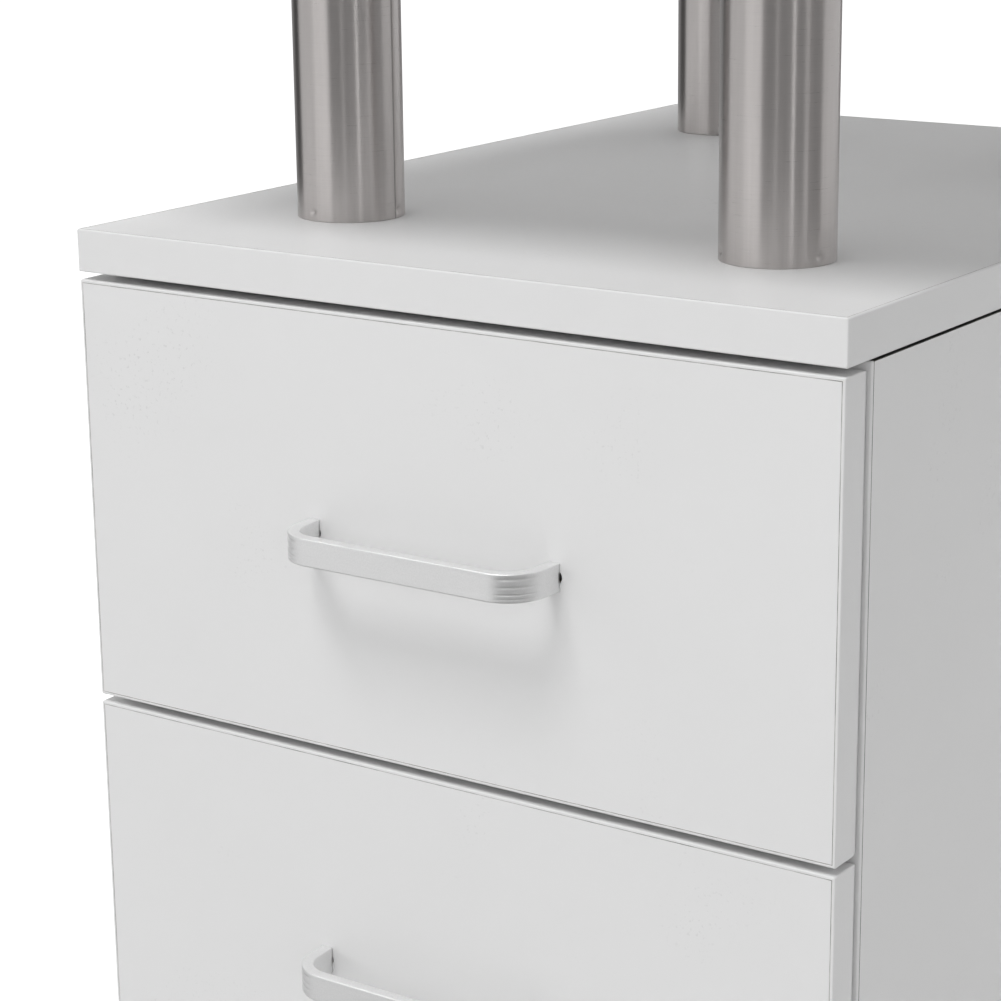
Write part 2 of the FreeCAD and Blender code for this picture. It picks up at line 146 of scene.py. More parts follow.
# name, turn from straight in front, reach, height, width, tall, radiance,
# if it lights matt things, if it is mirrored
LAMPS = (
    ("key", -12.0, 1.95, 3.80, 1.70, 1.20, 10.9, True, True),
    ("high_left", -95.0, 0.85, 3.80, 0.90, 0.90, 5.5, True, True),
    ("low_left", -100.0, 2.6, 1.40, 3.00, 1.40, 1.15, True, False),
    ("low_back", 172.0, 2.6, 1.40, 3.00, 1.40, 1.15, True, False),
    ("window", -43.0, 2.6, 0.60, 4.30, 3.4, 0.42, False, True),
    ("window_edge", -22.0, 2.6, 0.60, 1.50, 3.4, 0.22, False, True),
    ("thin_strip", 24.0, 2.6, 0.60, 0.10, 3.2, 0.55, False, True),
    ("side_wall", 150.0, 2.6, 0.60, 3.60, 3.4, 0.40, False, True),
    ("strip", 54.0, 2.6, 0.60, 0.09, 3.2, 2.1, False, True),
    ("wide_strip", 80.0, 2.6, 0.60, 0.35, 3.2, 0.40, False, True),
)

# ---- camera ----
# metres right of, in front of and above the pedestal board's front left top corner
CAMERA_RIGHT, CAMERA_FRONT, CAMERA_ABOVE = 0.6607, 0.6937, 0.1578
CAMERA_PITCH, CAMERA_YAW, CAMERA_ROLL = 15.2, 34.85, -0.69      # degrees
CAMERA_LENS, CAMERA_SENSOR = 99.15, 36.0                        # millimetres
CAMERA_CLIP_START = 0.01


# ================= materials =================
def material(name, base, roughness, metallic=0.0, specular=0.5):
    """A Principled material with its uniform values set, its node tree and its shader."""
    made = bpy.data.materials.new(name)
    made.use_nodes = True
    tree = made.node_tree
    shader = tree.nodes["Principled BSDF"]
    shader.inputs["Base Color"].default_value = (*base, 1.0)
    shader.inputs["Roughness"].default_value = roughness
    shader.inputs["Metallic"].default_value = metallic
    shader.inputs["Specular IOR Level"].default_value = specular
    return made, tree, shader


def add(tree, kind, **values):
    """A node with some of its inputs and properties set."""
    made = tree.nodes.new(kind)
    for key, value in values.items():
        if key in made.inputs:
            made.inputs[key].default_value = value
        else:
            setattr(made, key, value)
    return made


def coordinates(tree, output, scale=(1.0, 1.0, 1.0)):
    """Texture coordinates, stretched by a scale on each axis."""
    source = add(tree, "ShaderNodeTexCoord")
    mapping = add(tree, "ShaderNodeMapping")
    mapping.inputs["Scale"].default_value = scale
    tree.links.new(source.outputs[output], mapping.inputs["Vector"])
    return mapping.outputs["Vector"]


def noise_value(tree, vector, scale, detail, rough):
    """A grey noise."""
    made = add(tree, "ShaderNodeTexNoise", Scale=scale, Detail=detail, Roughness=rough)
    tree.links.new(vector, made.inputs["Vector"])
    return made.outputs["Fac"]


def ramp(tree, value, stops):
    """Colour stops along a grey value."""
    made = add(tree, "ShaderNodeValToRGB")
    elements = made.color_ramp.elements
    while len(elements) < len(stops):
        elements.new(0.5)
    for element, (place, colour) in zip(elements, stops):
        element.position = place
        element.color = (*colour, 1.0)
    tree.links.new(value, made.inputs["Fac"])
    return made.outputs["Color"]


def remap(tree, value, source, target, **options):
    """A value mapped, and clamped, from a source range to a target range."""
    made = add(tree, "ShaderNodeMapRange", **options)
    names = ("From Min", "From Max", "To Min", "To Max")
    for name, number in zip(names, (*source, *target)):
        made.inputs[name].default_value = number
    tree.links.new(value, made.inputs["Value"])
    return made.outputs["Result"]


def calculate(tree, operation, *values):
    """The result of a Math node on sockets and plain numbers."""
    made = add(tree, "ShaderNodeMath", operation=operation)
    for value, place in zip(values, made.inputs):
        if isinstance(value, float):
            place.default_value = value
        else:
            tree.links.new(value, place)
    return made.outputs[0]


def blend(tree, factor, colour, other):
    """A colour that turns into another, uniform one as the factor rises."""
    mix = add(tree, "ShaderNodeMix", data_type="RGBA")
    tree.links.new(factor, mix.inputs["Factor"])
    tree.links.new(colour, mix.inputs["A"])
    mix.inputs["B"].default_value = (*other, 1.0)
    return mix.outputs["Result"]


def bump(tree, shader, height, strength, distance):
    """Surface relief."""
    made = add(tree, "ShaderNodeBump", Strength=strength, Distance=distance)
    tree.links.new(height, made.inputs["Height"])
    tree.links.new(made.outputs["Normal"], shader.inputs["Normal"])


def shade(base, factor):
    """A colour made lighter or darker."""
    return tuple(c * factor for c in base)


def shaded(tree, value, base, low, high, places=NOISE_RANGE):
    """Shades of a colour along a noise, by their factors at two places."""
    return ramp(tree, value, ((places[0], shade(base, low)), (places[1], shade(base, high))))


def patches(tree, value, low, high):
    """Black where a noise is under the low value, and white where it is over the high one."""
    return ramp(tree, value, ((low, (0.0, 0.0, 0.0)), (high, (1.0, 1.0, 1.0))))


def handled(tree, colour, place, base):
    """The colour with clusters of tiny grey marks, as handling leaves on a pale board."""
    mark = noise_value(tree, place, scale=620.0, detail=2.0, rough=0.6)
    cluster = noise_value(tree, place, scale=16.0, detail=2.0, rough=0.5)
    strength = calculate(tree, "MULTIPLY", patches(tree, mark, 0.60, 0.70),
                         patches(tree, cluster, 0.58, 0.74))
    return blend(tree, strength, colour, shade(base, MARK_SHADE))


def coated_board(name, base, roughness, grain=1500.0, relief=0.10, marked=False):
    """White melamine, edging or epoxy coat: very fine pearl relief and a faint cloudiness."""
    made, tree, shader = material(name, base, roughness, specular=0.4)
    place = coordinates(tree, "Object")
    cloud = noise_value(tree, place, scale=7.0, detail=4.0, rough=0.6)
    colour = shaded(tree, cloud, base, 0.985, 1.012, places=(0.25, 0.75))
    if marked:
        colour = handled(tree, colour, place, base)
    tree.links.new(colour, shader.inputs["Base Color"])
    pearl = noise_value(tree, place, scale=grain, detail=2.0, rough=0.55)
    gloss = remap(tree, pearl, NOISE_RANGE, (roughness - 0.05, roughness + 0.06))
    tree.links.new(gloss, shader.inputs["Roughness"])
    bump(tree, shader, pearl, strength=relief, distance=0.05 * MM)
    return made


def glue_line(name, light, dark):
    """The thin joint beside an edging: dirty in places, clean in others."""
    made, tree, shader = material(name, light, 0.6, specular=0.3)
    dirt = noise_value(tree, coordinates(tree, "Object"), scale=60.0, detail=3.0, rough=0.7)
    colour = ramp(tree, dirt, ((0.38, dark), (0.62, light)))
    tree.links.new(colour, shader.inputs["Base Color"])
    return made


def brushed_tube(name, seam):
    """Stainless tube, brushed round it, with a weld seam. Its UV map is in millimetres."""
    made, tree, shader = material(name, STEEL, STEEL_ROUGHNESS, metallic=1.0)
    shader.inputs["Anisotropic"].default_value = 0.85
    shader.inputs["Anisotropic Rotation"].default_value = 0.25
    round_it = coordinates(tree, "UV", (0.05, 3.2, 1.0))
    brushing = noise_value(tree, round_it, scale=1.0, detail=4.0, rough=0.7)
    along_it = coordinates(tree, "UV", (0.55, 0.010, 1.0))
    streaks = noise_value(tree, along_it, scale=1.0, detail=3.0, rough=0.6)
    gloss = remap(tree, brushing, NOISE_RANGE, (STEEL_ROUGHNESS - 0.03, STEEL_ROUGHNESS + 0.03))
    tree.links.new(gloss, shader.inputs["Roughness"])
    tone = calculate(tree, "MULTIPLY", calculate(tree, "ADD", brushing, streaks), 0.5)
    colour = shaded(tree, tone, STEEL, 0.93, 1.06)
    tree.links.new(weld_seam(tree, colour, seam), shader.inputs["Base Color"])
    bump(tree, shader, brushing, strength=0.05, distance=0.03 * MM)
    return made


def weld_seam(tree, colour, seam):
    """Darkens a thin upright line at a distance round the tube, in millimetres."""
    source = add(tree, "ShaderNodeTexCoord")
    split = add(tree, "ShaderNodeSeparateXYZ")
    tree.links.new(source.outputs["UV"], split.inputs[0])
    off = calculate(tree, "ABSOLUTE", calculate(tree, "SUBTRACT", split.outputs["X"], seam))
    line = remap(tree, off, (SEAM_CORE, SEAM_EDGE), (SEAM_STRENGTH, 0.0))
    return blend(tree, line, colour, SEAM_COLOUR)


def satin_aluminium(name, base, roughness):
    """Satin aluminium with faint scratches along the strip under a thin clear skin."""
    made, tree, shader = material(name, base, roughness, metallic=1.0)
    shader.inputs["Coat Weight"].default_value = 0.35
    shader.inputs["Coat Roughness"].default_value = 0.16
    along_strip = coordinates(tree, "Object", (45.0, 45.0, 1400.0))
    scratches = noise_value(tree, along_strip, scale=1.0, detail=4.0, rough=0.7)
    specks = noise_value(tree, coordinates(tree, "Object"), scale=1900.0, detail=2.0, rough=0.6)
    tree.links.new(shaded(tree, specks, base, 0.965, 1.02), shader.inputs["Base Color"])
    gloss = remap(tree, scratches, NOISE_RANGE, (roughness - 0.07, roughness + 0.07))
    tree.links.new(gloss, shader.inputs["Roughness"])
    bump(tree, shader, scratches, strength=0.10, distance=0.03 * MM)
    return made


def plated_steel(name, base, roughness):
    """Zinc-plated hardware with a cloudy passivated look."""
    made, tree, shader = material(name, base, roughness, metallic=1.0)
    cloud = noise_value(tree, coordinates(tree, "Object"), scale=260.0, detail=4.0, rough=0.6)
    tree.links.new(shaded(tree, cloud, base, 0.84, 1.08), shader.inputs["Base Color"])
    gloss = remap(tree, cloud, NOISE_RANGE, (roughness - 0.06, roughness + 0.1))
    tree.links.new(gloss, shader.inputs["Roughness"])
    return made


def moulded_plastic(name, base, roughness):
    """Moulded plastic with a fine spark-eroded grain."""
    made, tree, shader = material(name, base, roughness, specular=0.45)
    grain = noise_value(tree, coordinates(tree, "Object"), scale=1100.0, detail=3.0, rough=0.6)
    tree.links.new(shaded(tree, grain, base, 0.93, 1.05), shader.inputs["Base Color"])
    bump(tree, shader, grain, strength=0.2, distance=0.08 * MM)
    return made


def wood(name, light, dark, scale):
    """Plain wood or raw particle board: streaks along one axis or chips, by scale."""
    made, tree, shader = material(name, light, 0.7, specular=0.25)
    streaks = noise_value(tree, coordinates(tree, "Object", scale), scale=1.0, detail=5.0, rough=0.65)
    colour = ramp(tree, streaks, ((0.32, dark), (0.68, light)))
    tree.links.new(colour, shader.inputs["Base Color"])
    bump(tree, shader, streaks, strength=0.3, distance=0.1 * MM)
    return made


CHIPS = (700.0, 700.0, 700.0)
GRAIN_ALONG_X = (90.0, 900.0, 900.0)
M = {
    "board": coated_board("melamine_white", WHITE, 0.42, marked=True),
    "front": coated_board("melamine_white_front", WHITE, 0.40, marked=True),
    "box": coated_board("melamine_white_inside", shade(WHITE, 0.97), 0.5),
    "band": coated_board("edging_white", shade(WHITE, 0.985), 0.34, grain=900.0, relief=0.06),
    "glue": glue_line("glue_line", (0.56, 0.55, 0.54), (0.24, 0.23, 0.22)),
    "joint": glue_line("open_joint", (0.22, 0.20, 0.18), (0.03, 0.03, 0.03)),
    "raw": wood("particle_board", (0.36, 0.27, 0.18), (0.16, 0.11, 0.07), CHIPS),
    # painted shade: a near-black colour on the side panels' top edges stands in for the shade in the
    # gap under the top board
    "gap_painted_shade": wood("dark_edge_painted_shade", (0.05, 0.048, 0.046), (0.02, 0.02, 0.02), CHIPS),
    "aluminium": satin_aluminium("satin_aluminium", (0.91, 0.91, 0.91), 0.52),
    "zinc": plated_steel("zinc_plated_steel", (0.60, 0.61, 0.62), 0.32),
    "epoxy": coated_board("white_epoxy_coat", (0.78, 0.78, 0.77), 0.35, grain=700.0, relief=0.12),
    "nylon": moulded_plastic("natural_nylon", (0.72, 0.70, 0.65), 0.45),
    "black": moulded_plastic("black_plastic", (0.030, 0.030, 0.032), 0.5),
    "beech": wood("beech", (0.62, 0.42, 0.25), (0.46, 0.29, 0.16), GRAIN_ALONG_X),
}


# ================= mesh helpers =================
def finish_mesh(name, bm, materials, body, nodes):
    """Turn a bmesh into a piece that rides on a body and stands for CAD nodes."""
    bmesh.ops.recalc_face_normals(bm, faces=bm.faces)
    mesh = bpy.data.meshes.new(name)
    bm.to_mesh(mesh)
    bm.free()
    for m in materials:
        mesh.materials.append(m)
    piece = bpy.data.objects.new(name, mesh)
    bpy.context.scene.collection.objects.link(piece)
    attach(piece, body)
    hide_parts(*nodes)
    return piece


def ring(width, depth, radius, steps):
    """Points of a rounded rectangle round the origin, anticlockwise."""
    radius = max(radius, SHARP)
    points = []
    for k, (sx, sy) in enumerate(((1, -1), (1, 1), (-1, 1), (-1, -1))):
        cx = sx * (width / 2 - radius)
        cy = sy * (depth / 2 - radius)
        for s in range(steps + 1):
            a = math.radians(-90 + 90 * k + 90 * s / steps)
            points.append((cx + radius * math.cos(a), cy + radius * math.sin(a)))
    return points


def low_arc(radius, steps=4):
    """Inset and height along the rounded edge from the low face to the side."""
    made = []
    for s in range(steps + 1):
        a = math.radians(90 * s / steps)
        made.append((radius - radius * math.sin(a), radius - radius * math.cos(a)))
    return made


def high_arc(radius, thickness, steps=4):
    """Inset and height along the rounded edge from the side to the high face."""
    return [(inset, thickness - height) for inset, height in reversed(low_arc(radius, steps))]


def strips(points, index, smooth):
    """Profile points with the material and shading of the strip that starts at each."""
    return [(inset, height, index, smooth) for inset, height in points]


def rim(low, high, edge=0, side=0):
    """Profile up a board's side, from the arcs and the materials of its edges and side."""
    return strips(low[:-1], edge, True) + strips(low[-1:], side, False) + strips(high, edge, True)


def board_rim(thickness, radius, steps, edge=0, side=0):
    """Profile of a board with both edges broken alike."""
    return rim(low_arc(radius, steps), high_arc(radius, thickness, steps), edge, side)


def ring_profile(thickness, width, radius):
    """Closed profile of an edging strip: rounded outside, broken inside."""
    outer = rim(low_arc(radius), high_arc(radius, thickness)[:-1])
    j = JOINT_R
    inner = [(width - j, thickness), (width, thickness - j), (width, j), (width - j, 0.0)]
    return outer + strips([(radius, thickness)], 0, False) + strips(inner, 1, False)


def edged_profile(thickness, low_r, high_r, high_reach):
    """Profile of a board whose edging is part of it, with the glue line in each face."""
    high_edge = [(inset, thickness - (thickness - height) * high_reach)
                 for inset, height in high_arc(high_r, thickness, 8)]
    g, d, b = GROOVE_W, GROOVE_D, BAND
    low = strips([(b + g, 0.0), (b + g / 2, d)], 2, False) + strips([(b, 0.0)], 1, False)
    side = rim(low_arc(low_r), high_edge[:-1], edge=1, side=1)
    reach = max(high_r, b)
    high = strips([(high_r, thickness)], 1, False)
    high += strips([(reach + GROOVE_LAND, thickness), (reach + g / 2, thickness - d)], 2, False)
    return low + side + high + strips([(reach + g, thickness)], 0, False)


def loft(bm, lo, hi, axis, corner, profile, closed=False, steps=CORNER_STEPS):
    """Slab between two corners: its outline moves in and up along the profile."""
    flat = [i for i in range(3) if i != axis]
    size = [hi[i] - lo[i] for i in flat]
    mid = [(hi[i] + lo[i]) / 2 for i in flat]
    rows = []
    for inset, height, _, _ in profile:
        row = []
        for a, b in ring(size[0] - 2 * inset, size[1] - 2 * inset, corner - inset, steps):
            place = [0.0, 0.0, 0.0]
            place[flat[0]] = mid[0] + a
            place[flat[1]] = mid[1] + b
            place[axis] = lo[axis] + height
            row.append(bm.verts.new(place))
        rows.append(row)
    last = len(rows) if closed else len(rows) - 1
    for k in range(last):
        a, b = rows[k], rows[(k + 1) % len(rows)]
        for j in range(len(a)):
            face = bm.faces.new((a[j], a[(j + 1) % len(a)], b[(j + 1) % len(b)], b[j]))
            face.material_index = profile[k][2]
            face.smooth = profile[k][3]
    if not closed:
        bm.faces.new(rows[0])
        bm.faces.new(rows[-1])


# ================= pieces: boards =================
def make_banded_board(name, node, band_name, band_node, corner, band, edge_r, steps):
    """A board that lies flat and the edging round it."""
    lo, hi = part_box(node)
    bm = bmesh.new()
    profile = board_rim(hi.z - lo.z, JOINT_R, 2, edge=1, side=1)
    loft(bm, lo, hi, 2, corner - band, profile, steps=steps)
    finish_mesh(name, bm, [M["board"], M["glue"]], "table", [node])
    lo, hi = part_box(band_node)
    bm = bmesh.new()
    profile = ring_profile(hi.z - lo.z, band, edge_r)
    loft(bm, lo, hi, 2, corner, profile, closed=True, steps=steps)
    finish_mesh(band_name, bm, [M["band"], M["glue"]], "table", [band_node])


def make_panel(name, node, axis):
    """A plain pedestal panel whose thickness is along an axis."""
    lo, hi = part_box(node)
    bm = bmesh.new()
    loft(bm, lo, hi, axis, SHARP, board_rim(hi[axis] - lo[axis], PANEL_EDGE_R, 3))
    finish_mesh(name, bm, [M["board"]], "table", [node])


def make_side_panels():
    """The pedestal's side panels, with their front edging."""
    bands = bmesh.new()
    low_band, high_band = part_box("side_panel_edge_bands")
    for side in ("left", "right"):
        node = side + "_side_panel"
        lo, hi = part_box(node)
        panel = bmesh.new()
        loft(panel, lo, hi, 0, SHARP, board_rim(hi.x - lo.x, OPEN_JOINT_R, 2, edge=1))
        panel.normal_update()
        for face in panel.faces:
            if abs(face.normal.z) > 0.7:        # raw below, and painted dark shade on the top edge, for the gap under the top board
                face.material_index = 2 if face.normal.z < 0 else 3
        finish_mesh(side + "_side_board", panel, [M["board"], M["joint"], M["raw"], M["gap_painted_shade"]],
                    "table", [node])
        band_lo = Vector((lo.x, low_band.y, lo.z))
        band_hi = Vector((hi.x, high_band.y, hi.z))
        profile = rim(low_arc(BAND_EDGE_R), high_arc(JOINT_R, high_band.y - low_band.y, 2))
        loft(bands, band_lo, band_hi, 1, PANEL_CORNER, profile)
    finish_mesh("side_board_edging", bands, [M["band"]], "table",
                ["side_panel_edge_bands"])


def make_boards():
    """The table top and the pedestal's boards."""
    make_banded_board("tabletop_board", "tabletop",
                      "tabletop_edging", "tabletop_edge_band",
                      corner=TOP_CORNER, band=TOP_BAND, edge_r=TOP_EDGE_R, steps=TOP_CORNER_STEPS)
    make_banded_board("cabinet_top", "cabinet_top_board",
                      "cabinet_top_edging", "cabinet_top_edge_band",
                      corner=PANEL_CORNER, band=BAND, edge_r=BAND_EDGE_R, steps=CORNER_STEPS)
    make_side_panels()
    make_panel("back_board", "back_panel", 1)
    make_panel("bottom_board", "bottom_panel", 2)


def bored(piece, centres, radius, low, high):
    """Bores round holes along Y through the piece. Their walls take its last material."""
    materials = piece.data.materials
    bm = bmesh.new()
    for x, z in centres:
        turn = Matrix.Translation((x, (low + high) / 2, z)) @ Matrix.Rotation(math.radians(90), 4, "X")
        bmesh.ops.create_cone(bm, cap_ends=True, segments=HOLE_SEGMENTS, radius1=radius,
                              radius2=radius, depth=high - low, matrix=turn)
    for face in bm.faces:
        face.material_index = len(materials) - 1
    cutter_mesh = bpy.data.meshes.new("cutter")
    bm.to_mesh(cutter_mesh)
    bm.free()
    for m in materials:
        cutter_mesh.materials.append(m)
    cutter = bpy.data.objects.new("cutter", cutter_mesh)
    bpy.context.scene.collection.objects.link(cutter)
    cut = piece.modifiers.new("bore", "BOOLEAN")
    cut.operation = "DIFFERENCE"
    cut.object = cutter
    cut.solver = "EXACT"
    bpy.context.view_layer.update()
    shown = piece.evaluated_get(bpy.context.evaluated_depsgraph_get())
    whole = bpy.data.meshes.new_from_object(shown)
    piece.modifiers.clear()
    piece.data = whole
    bpy.data.objects.remove(cutter)


def make_drawer_front(name):
    """A drawer front edged all round, with its two handle holes."""
    node = name + "_drawer_front"
    lo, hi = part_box(node)
    bm = bmesh.new()
    profile = edged_profile(hi.y - lo.y, BAND_EDGE_R, FRONT_BACK_R, FRONT_BACK_REACH)
    loft(bm, lo, hi, 1, PANEL_CORNER, profile)
    piece = finish_mesh(name + "_front", bm, [M["front"], M["band"], M["glue"], M["raw"]],
                        name + "_drawer", [node])
    h_lo, h_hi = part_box(name + "_handle")
    mid_z = (h_lo.z + h_hi.z) / 2
    foot = STRIP_T / 2
    centres = [(h_lo.x + foot - FRONT_HOLE_SPREAD, mid_z), (h_hi.x - foot + FRONT_HOLE_SPREAD, mid_z)]
    bored(piece, centres, FRONT_HOLE_R, lo.y - MM, hi.y + MM)


# ================= pieces: handles =================
def bend(x, y, start):
    """Points of a quarter bend between its ends: place, inward direction, share of the bend."""
    points = []
    for s in range(1, BEND_STEPS):
        a = math.radians(start + 90 * s / BEND_STEPS)
        points.append((x + BEND_R * math.cos(a), y + BEND_R * math.sin(a),
                       (-math.cos(a), -math.sin(a)), s / BEND_STEPS))
    return points


def handle_path(lo, hi):
    """Outside line of the bow: place, inward direction, share of a bend from the grip, or None."""
    front = lo.y + BEND_R
    left, right = lo.x + LEG_LEAN, hi.x - LEG_LEAN
    path = [(lo.x + LEG_LEAN * s / LEG_STEPS, hi.y + (front - hi.y) * s / LEG_STEPS, (1.0, 0.0), None)
            for s in range(LEG_STEPS + 1)]
    path += [(x, y, inward, 1 - share) for x, y, inward, share in bend(left + BEND_R, front, 180)]
    path += [(left + BEND_R + (right - left - 2 * BEND_R) * s / GRIP_STEPS, lo.y, (0.0, 1.0), None)
             for s in range(GRIP_STEPS + 1)]
    path += bend(right - BEND_R, front, 270)
    path += [(hi.x - LEG_LEAN * (LEG_STEPS - s) / LEG_STEPS,
              front + (hi.y - front) * s / LEG_STEPS, (-1.0, 0.0), None)
             for s in range(LEG_STEPS + 1)]
    return path


def strip_section(height):
    """Section of the strip: distance in from the outside face, height, if it is on that face."""
    r, t, half = STRIP_EDGE_R, STRIP_T, height / 2
    points = []
    for s in range(FACE_STEPS + 1):
        points.append((0.0, -half + r + (height - 2 * r) * s / FACE_STEPS, True))
    # centre of each rounded edge, the angle it starts at, its first and its last step
    for cx, cz, start, first, last in (
        (r, half - r, 180, 1, 4), (t - r, half - r, 90, 0, 4),
        (t - r, -half + r, 0, 0, 4), (r, -half + r, -90, 1, 3),
    ):
        for s in range(first, last + 1):
            a = math.radians(start - 90 * s / STRIP_EDGE_STEPS)
            points.append((cx + r * math.cos(a), cz + r * math.sin(a), False))
    return points


def soft_step(t):
    """0 below 0, 1 above 1, and smooth between."""
    t = min(max(t, 0.0), 1.0)
    return t * t * (3 - 2 * t)


def wrinkle_depth(share, z, height, shifts):
    """How far the outside of a bend is drawn in, at a share of the bend and a height."""
    if share is None:
        return 0.0
    start, full, fade, end = WRINKLED
    window = soft_step((share - start) / (full - start)) * soft_step((end - share) / (end - fade))
    depth = 0.0
    for (place, deep, wide), shift in zip(WRINKLES, shifts):
        centre = height / 2 - (place + shift) * height
        depth += deep * MM * math.exp(-((z - centre) / (wide * MM)) ** 2)
    return depth * window


def make_handle(name, rng):
    """A bow handle bent from flat strip, with wrinkles on the outside of its bends."""
    node = name + "_handle"
    lo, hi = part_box(node)
    height = hi.z - lo.z
    mid_z = (hi.z + lo.z) / 2
    section = strip_section(height)
    shifts = [rng.uniform(-WRINKLE_SHIFT, WRINKLE_SHIFT) for _ in WRINKLES]
    bm = bmesh.new()
    rows = []
    for x, y, (nx, ny), share in handle_path(lo, hi):
        row = []
        for inward, z, outside in section:
            d = inward + (wrinkle_depth(share, z, height, shifts) if outside else 0.0)
            row.append(bm.verts.new((x + nx * d, y + ny * d, mid_z + z)))
        rows.append(row)
    for a, b in zip(rows, rows[1:]):
        for j in range(len(a)):
            face = bm.faces.new((a[j], a[(j + 1) % len(a)], b[(j + 1) % len(b)], b[j]))
            face.smooth = True
    bm.faces.new(rows[0])
    bm.faces.new(rows[-1])
    finish_mesh(name + "_bow_handle", bm, [M["aluminium"]], name + "_drawer",
                [node])


# ================= pieces: tubes =================
def tube_profile(radius, low, high, marked):
    """Closed outline of a tube wall as radius and height: up the outside, then the bore."""
    lip, middle = TUBE_LIP, TUBE_LIP * LIP_MIDDLE
    rows = [(radius - lip, low), (radius - middle, low + middle), (radius, low + lip)]
    z = low + lip
    while marked and z < low + DIMPLE_UP + DIMPLE_REACH:
        z += DIMPLE_ROW
        rows.append((radius, z))
    for k in range(1, TUBE_ROWS):
        height = low + (high - low) * k / TUBE_ROWS
        if height > z + MM:
            rows.append((radius, height))
    rows += [(radius, high - lip), (radius - middle, high - middle), (radius - lip, high)]
    inner = radius - TUBE_WALL
    return rows + [(inner, high), (inner, low)]


def dimple(angle, z, low, marks, radius):
    """How far the wall is pushed in near the staking marks."""
    depth = 0.0
    for mark in marks:
        across = (math.radians(angle - mark) + math.pi) % (2 * math.pi) - math.pi
        d2 = (across * radius) ** 2 + (z - low - DIMPLE_UP) ** 2
        if d2 < DIMPLE_REACH ** 2:
            depth += DIMPLE_DEPTH * math.exp(-d2 / DIMPLE_R ** 2 * DIMPLE_FALL)
    return depth


def make_tube(node, marks, key, segments):
    """A steel tube in place of a CAD node, with a UV map in millimetres round and along it."""
    lo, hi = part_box(node)
    cx, cy = (lo.x + hi.x) / 2, (lo.y + hi.y) / 2
    radius = (hi.x - lo.x) / 2
    profile = tube_profile(radius, lo.z, hi.z, bool(marks))
    bm = bmesh.new()
    uv = bm.loops.layers.uv.new("girth_mm")
    rows = []
    for r, z in profile:
        row = []
        for j in range(segments):
            angle = 360.0 * j / segments
            push = dimple(angle, z, lo.z, marks, radius) if r == radius else 0.0
            a = math.radians(angle)
            row.append(bm.verts.new((cx + (r - push) * math.cos(a), cy + (r - push) * math.sin(a), z)))
        rows.append(row)
    girth = 2 * math.pi * radius / MM
    for k in range(len(rows)):
        a, b = rows[k], rows[(k + 1) % len(rows)]
        za, zb = profile[k][1] / MM, profile[(k + 1) % len(rows)][1] / MM
        outside, bore = k < len(rows) - 3, k == len(rows) - 2
        for j in range(segments):
            n = (j + 1) % segments
            face = bm.faces.new((a[j], a[n], b[n], b[j]))
            face.smooth = outside or bore
            ua, ub = girth * j / segments, girth * (j + 1) / segments
            for loop, place in zip(face.loops, ((ua, za), (ub, za), (ub, zb), (ua, zb))):
                loop[uv].uv = place
    finish_mesh(node + "_tube", bm, [M[key]], "table", [node])


def make_tubes():
    """Columns, tube legs and feet. Each column's seam is turned its own way."""
    for k, (node, (marks, seam_angle)) in enumerate(COLUMNS.items()):
        key = "steel_" + str(k)
        M[key] = brushed_tube("brushed_stainless_" + str(k), TUBE_GIRTH * seam_angle / 360)
        make_tube(node, marks, key, COLUMN_SEGMENTS)
    M["steel_legs"] = brushed_tube("brushed_stainless_legs", TUBE_GIRTH * LEG_SEAM)
    for node in LEGS_AND_FEET:
        make_tube(node, (), "steel_legs", LEG_SEGMENTS)


# ================= CAD nodes that stay =================
def dress(node, key, bevel=0.0):
    """Give a CAD node its material, and lightly broken edges."""
    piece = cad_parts[node]
    piece.data.materials.clear()
    piece.data.materials.append(M[key])
    if bevel:
        edge = piece.modifiers.new("broken_edges", "BEVEL")
        edge.width = bevel
        edge.segments = NODE_BEVEL_SEGMENTS
        edge.limit_method = "ANGLE"
        edge.angle_limit = math.radians(NODE_BEVEL_ANGLE)


def dress_nodes():
    """Materials of every CAD node that is shown as it is."""
    for node in ("column_end_plugs", "column_bolts_and_studs", "flange_screws", "cam_locks",
                 "rail_screws"):
        dress(node, "zinc")
    dress("mounting_flanges", "zinc", 0.3 * MM)
    dress("floor_glides", "black")
    dress("dowels", "beech")
    for name in DRAWERS:
        for part in ("left_side", "right_side", "back", "bottom"):
            dress(name + "_drawer_" + part, "box", 0.25 * MM)
        dress(name + "_handle_screws", "zinc", 0.2 * MM)
        for owner in ("_cabinet", "_drawer"):
            dress(name + owner + "_rails", "epoxy", 0.15 * MM)
            dress(name + owner + "_rollers", "nylon", 0.3 * MM)


# ================= stage, light and camera =================
def mixed(tree, factor, first, second):
    """A shader that is the first where the factor is 0 and the second where it is 1."""
    mix = add(tree, "ShaderNodeMixShader")
    tree.links.new(factor, mix.inputs[0])
    tree.links.new(first, mix.inputs[1])
    tree.links.new(second, mix.inputs[2])
    return mix.outputs[0]


